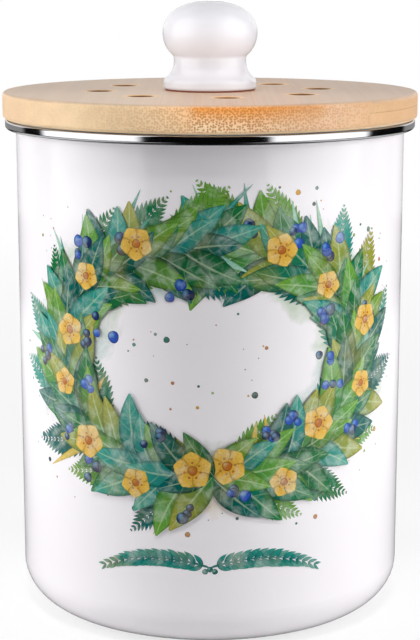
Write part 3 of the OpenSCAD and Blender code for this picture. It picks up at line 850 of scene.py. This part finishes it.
def wreath_point(share):
    """A place and heading on the wreath's middle line, from the bottom (0) up the right to the top (1)."""
    turn = math.pi * (share - 0.5)
    u = WREATH_HALF_U * math.cos(turn)
    v = WREATH_V + WREATH_HALF_V * math.sin(turn)
    heading = math.atan2(WREATH_HALF_V * math.cos(turn), -WREATH_HALF_U * math.sin(turn))
    return u, v, heading


def mirrored(base, angle, bend, side):
    """The same place and heading on the right (1) or the left (-1) half."""
    if side > 0:
        return base, angle, bend
    return (-base[0], base[1]), math.pi - angle, -bend


def beside_wreath(share, off, side):
    """A place this far inside the middle line (+) or outside it (-), on the right (1) or the left (-1)."""
    u, v, heading = wreath_point(share)
    return side * (u - math.sin(heading) * off), v + math.cos(heading) * off


def grow_wreath(chance, leaves, slender, ferns, berries, petals):
    """Two garlands that start at the bottom and meet at the top."""
    for side in (1, -1):
        for k in range(FRONDS):  # fronds that reach outwards and inwards, behind the rest
            u, v, heading = wreath_point((k + 0.4) / (FRONDS + 0.2))
            outward = -math.radians(chance.uniform(34, 62))
            base, angle, bend = mirrored((u, v), heading + outward, chance.uniform(0.1, 0.5), side)
            fern(ferns, base, angle, chance.uniform(30, 38), chance.choice(GREENS), bend)
            if k % 2 == 0:
                inward = math.radians(chance.uniform(38, 60))
                base, angle, bend = mirrored((u, v), heading + inward, -0.3, side)
                fern(ferns, base, angle, chance.uniform(28, 34), chance.choice(GREENS), bend, pairs=13)
        for k in range(BLADES):
            u, v, heading = wreath_point(chance.uniform(0.0, 0.98))
            splay = math.radians(chance.choice((-1, 1)) * chance.uniform(18, 66))
            tones = chance.choice(LOW_BLADES if v < WREATH_V - 24 else HIGH_BLADES)
            reach = chance.uniform(22, 34) if splay < 0 else chance.uniform(14, 24)
            base, angle, bend = mirrored((u, v), heading + splay, chance.uniform(-0.5, 0.5), side)
            leaf(slender, base, angle, reach, chance.uniform(2.2, 3.6), tones, bend, belly=0.7, columns=5)
        for k in reversed(range(LEAF_ROWS)):  # broad leaves, the later ones over the earlier ones
            share = k / (LEAF_ROWS - 0.5)
            for splay, reach, wide in LEAF_ROW:
                u, v, heading = wreath_point(min(share + chance.uniform(-0.01, 0.01), 1))
                turn = heading + math.radians(splay + chance.uniform(-13, 13))
                base, angle, bend = mirrored((u, v), turn, chance.uniform(-0.45, 0.45), side)
                size = chance.uniform(0.78, 1.12)
                leaf(leaves, base, angle, reach * size, wide * size, chance.choice(GREENS), bend)
        for k in range(BERRY_CLUSTERS):
            off = chance.choice((-1, 1)) * chance.uniform(8, 15)
            u, v = beside_wreath(0.05 + k * 0.088, off, side)
            for _ in range(chance.choice((3, 4, 5))):
                place = (u + side * chance.uniform(-4.2, 4.2), v + chance.uniform(-4.2, 4.2))
                berry(berries, place, chance.uniform(1.5, 2.5), chance.choice(BERRY_TONES))
        for share, radius in FLOWERS:
            place = beside_wreath(share, chance.uniform(-9, 9), side)
            turn = chance.uniform(0, math.tau)
            flower(petals, berries, place, radius, turn, (OCHRE, GOLD), (RUST, OCHRE))


def spatter(chance, dots):
    """Flicked drops of pigment round the wreath, and a few inside it."""
    for _ in range(DROPS):
        turn = chance.uniform(0, math.tau)
        reach = chance.uniform(1.25, 1.62) if chance.random() < 0.8 else chance.uniform(0.2, 0.5)
        u = WREATH_HALF_U * 1.12 * reach * math.cos(turn)
        v = WREATH_V + WREATH_HALF_V * reach * math.sin(turn)
        if abs(u) < PRINT_HALF_U - 4 and PRINT_LOW < v < PRINT_HIGH:
            size = 0.25 + 1.1 * chance.random() ** 3
            berry(dots, (u, v), size, chance.choice(DROP_TONES), rings=2, around=10)


def grow_sprig(chance, sprig):
    """A pair of thin bending stems with paired leaves, in one colour, below the wreath."""
    stem = []
    for side in (1, -1):
        foot = SPRIG_RISE if side > 0 else math.pi - SPRIG_RISE
        leaf(sprig, (0, SPRIG_V), foot, SPRIG_LENGTH, 0.9, (TEAL, SEA_GREEN), -side * SPRIG_DROOP,
             belly=0.3, rows=30, columns=3)
        u, v = 0.0, SPRIG_V
        step = SPRIG_LENGTH / SPRIG_PAIRS
        for i in range(1, SPRIG_PAIRS + 1):
            heading = foot - side * SPRIG_DROOP * (i - 0.5) / SPRIG_PAIRS
            u += math.cos(heading) * step
            v += math.sin(heading) * step
            stem.append((u, v, heading, i / SPRIG_PAIRS))
    for u, v, heading, s in stem:
        size = 5.8 * math.sin(math.pi * (0.25 + 0.62 * s)) + 1.2
        splay = math.radians(46 - 12 * s)
        for hand in (1, -1):
            leaf(sprig, (u, v), heading + hand * splay, size * chance.uniform(0.9, 1.1), size * 0.34,
                 (TEAL, SEA_GREEN), bend=-hand * 0.4, rows=9, columns=5)
    for u, drop in ((-1.9, 1.6), (0.0, 0.7), (1.9, 1.6)):
        berry(sprig, (u, SPRIG_V - drop), 1.15, (TEAL, MINT))


def print_inputs(tree):
    """What each point of the print holds: its pigment, and its place on its blade as shares of the length
    (X) and of the half width (Y), with the length in mm (Z)."""
    pigment = add(tree, "Attribute", attribute_name="pigment")
    blade = add(tree, "Attribute", attribute_name="blade")
    return pigment, add(tree, "SeparateXYZ", [blade.outputs["Vector"]])


def print_pigment():
    """Ceramic pigment fired under a clear flux: it pools at the edges, granulates, and lets the white
    through where it is thin."""
    material, tree, place = blank_material("ceramic_pigment_fired")
    pigment, blade = print_inputs(tree)
    wash = add(tree, "TexNoise", {"Vector": place, "Scale": per_mm(6), "Detail": 3.0, "Distortion": 0.8})
    thin = add(tree, "MapRange", [wash, 0.45, 0.78, 0.0, 0.45])
    diluted = add(tree, "Mix", [thin, pigment, linear("#E3EFE2")], data_type="RGBA")
    bleed = add(tree, "TexNoise", {"Vector": place, "Scale": per_mm(13)})
    warm = add(tree, "MapRange", [bleed, 0.52, 0.74, 0.0, 0.28])
    tinted = add(tree, "Mix", [warm, diluted, linear("#B9A64A")], data_type="RGBA")

    # Pigment gathers along the outline.
    spread = add(tree, "Math", [blade.outputs["Y"]], operation="ABSOLUTE")
    rim = add(tree, "MapRange", [spread, 0.72, 1.0, 1.0, 0.5])
    # A pale midrib, and side veins that sweep towards the tip, on blades over 15 mm long
    rib = add(tree, "MapRange", [spread, 0.03, 0.10, 0.35, 0.0])
    sweep = add(tree, "Math", [spread, -0.16, blade.outputs["X"]], operation="MULTIPLY_ADD")
    count = add(tree, "Math", [sweep, 9.0], operation="MULTIPLY")
    comb = add(tree, "Math", [count, 1.0], operation="PINGPONG")
    vein = add(tree, "MapRange", [comb, 0.0, 0.16, 0.16, 0.0])
    broad = add(tree, "Math", [blade.outputs["Z"], 15.0], operation="GREATER_THAN")
    lines = add(tree, "Math", [rib, vein], operation="MAXIMUM")
    veined = add(tree, "Math", [lines, broad], operation="MULTIPLY")
    drawn = add(tree, "Mix", [veined, tinted, linear("#DCEBC4")], data_type="RGBA")
    grain = add(tree, "TexNoise", {"Vector": place, "Scale": per_mm(0.7)})
    speckle = add(tree, "MapRange", [grain, 0.3, 0.7, 0.86, 1.10])
    level = add(tree, "Math", [rim, speckle], operation="MULTIPLY")
    colour = add(tree, "VectorMath", [drawn, level], operation="SCALE")
    add(tree, "OutputMaterial", [enamel_gloss(tree, colour, place)])
    return material


def print_wash():
    """The palest washes of the print, which run out into the bare enamel."""
    material, tree, place = blank_material("ceramic_pigment_thin_wash")
    pigment, strength = print_inputs(tree)
    cloud = add(tree, "TexNoise", {
        "Vector": place, "Scale": per_mm(17), "Detail": 5.0, "Roughness": 0.62, "Distortion": 0.5})
    wet = add(tree, "Math", [cloud, strength.outputs["Y"]], operation="ADD")
    spread = add(tree, "MapRange", [wet, 1.0, 1.42, 0.0, 0.8])
    colour = add(tree, "Mix", [spread, enamel_white(tree, place), pigment], data_type="RGBA")
    add(tree, "OutputMaterial", [enamel_gloss(tree, colour, place)])
    return material


def lay_wash(wash):
    """A thin sheet of washes under the wreath, golden at its foot and strongest along its middle line. The Y
    of a point's place says how strong."""
    rows = 2 * PRINT_HALF_U // WASH_STEP + 1
    columns = (PRINT_HIGH - PRINT_LOW) // WASH_STEP + 1
    points, pigments, places = [], [], []
    for i in range(rows):
        for j in range(columns):
            u, v = WASH_STEP * i - PRINT_HALF_U, WASH_STEP * j + PRINT_LOW
            across = math.hypot(u / WREATH_HALF_U, (v - WREATH_V) / WREATH_HALF_V)
            strength = max(0.0, 1 - abs(across - 1.0) / WASH_REACH)
            low = min(max((WREATH_V - 20 - v) / 30, 0), 1)
            hue = 0.5 + 0.5 * math.sin(u * 0.09 + v * 0.13)
            points.append((u, v))
            pigments.append(blend_colours(blend_colours(SEA_GREEN, FRESH_GREEN, hue), GOLD, low * 0.8))
            places.append((0, 0.86 * strength ** 0.5 if strength else -1, 0))
    wash.add_grid(rows, columns, points, WASH_LIFT, pigments, places)


def on_wall(u, v, lift):
    """A point of the rolled-out wall, in metres round the pail."""
    turn = u / WALL_RADIUS
    radius = WALL_RADIUS + lift
    return (mm(radius * math.sin(turn)), mm(-radius * math.cos(turn)), mm(v))


def cell_uvs(mesh, drawing):
    """A UV map in which each shape has a square cell of its own."""
    side = math.ceil(math.sqrt(len(drawing.cells)))
    inner = 1 - 2 * CELL_MARGIN
    places = []
    for index, (start, count, low_u, low_v, span) in enumerate(drawing.cells):
        column, row = index % side + CELL_MARGIN, index // side + CELL_MARGIN
        for u, v, _ in drawing.points[start:start + count]:
            places.append(((column + inner * (u - low_u) / span) / side,
                           (row + inner * (v - low_v) / span) / side))
    layer = mesh.uv_layers.new(name="OFBake")
    layer.data.foreach_set("uv", [c for loop in mesh.loops for c in places[loop.vertex_index]])


def fire_print(drawing, material):
    """Turns a drawing into a mesh on the pail's wall."""
    mesh = bpy.data.meshes.new(drawing.name)
    mesh.from_pydata([on_wall(*p) for p in drawing.points], [], drawing.faces)
    mesh.materials.append(material)
    mesh.shade_smooth()
    pigment = mesh.attributes.new("pigment", "FLOAT_COLOR", "POINT")
    pigment.data.foreach_set("color", [c for colour in drawing.pigments for c in colour])
    blade = mesh.attributes.new("blade", "FLOAT_VECTOR", "POINT")
    blade.data.foreach_set("vector", [c for place in drawing.places for c in place])
    turns = [u / WALL_RADIUS for u, _, _ in drawing.points]
    mesh.normals_split_custom_set_from_vertices([(math.sin(turn), -math.cos(turn), 0) for turn in turns])
    cell_uvs(mesh, drawing)
    piece = put_in_scene(drawing.name, mesh)
    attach(piece, "pail")


def add_print():
    """The whole print: washes, ferns, blades, leaves, berries, flowers, spatter and the sprigs."""
    chance = random.Random(PRINT_SEED)
    layers = Layers()
    wash, ferns, slender, leaves, berries, petals, dots, sprig = [Print(name, layers) for name in (
        "print_wash", "print_ferns", "print_blades", "print_leaves", "print_berries", "print_petals",
        "print_spatter", "print_sprig")]
    lay_wash(wash)
    spatter(chance, dots)
    grow_wreath(chance, leaves, slender, ferns, berries, petals)
    grow_sprig(chance, sprig)
    pigment = print_pigment()
    fire_print(wash, print_wash())
    for drawing in (ferns, slender, leaves, berries, petals, dots, sprig):
        fire_print(drawing, pigment)


# -------- the scene

bpy.context.scene.view_settings.view_transform = "Standard"
set_camera()
set_world()
for softbox in SOFTBOXES:
    add_softbox(*softbox)
for spotlight in SPOTS:
    add_spot(*spotlight)
add_floor()
dress_nodes()
add_print()
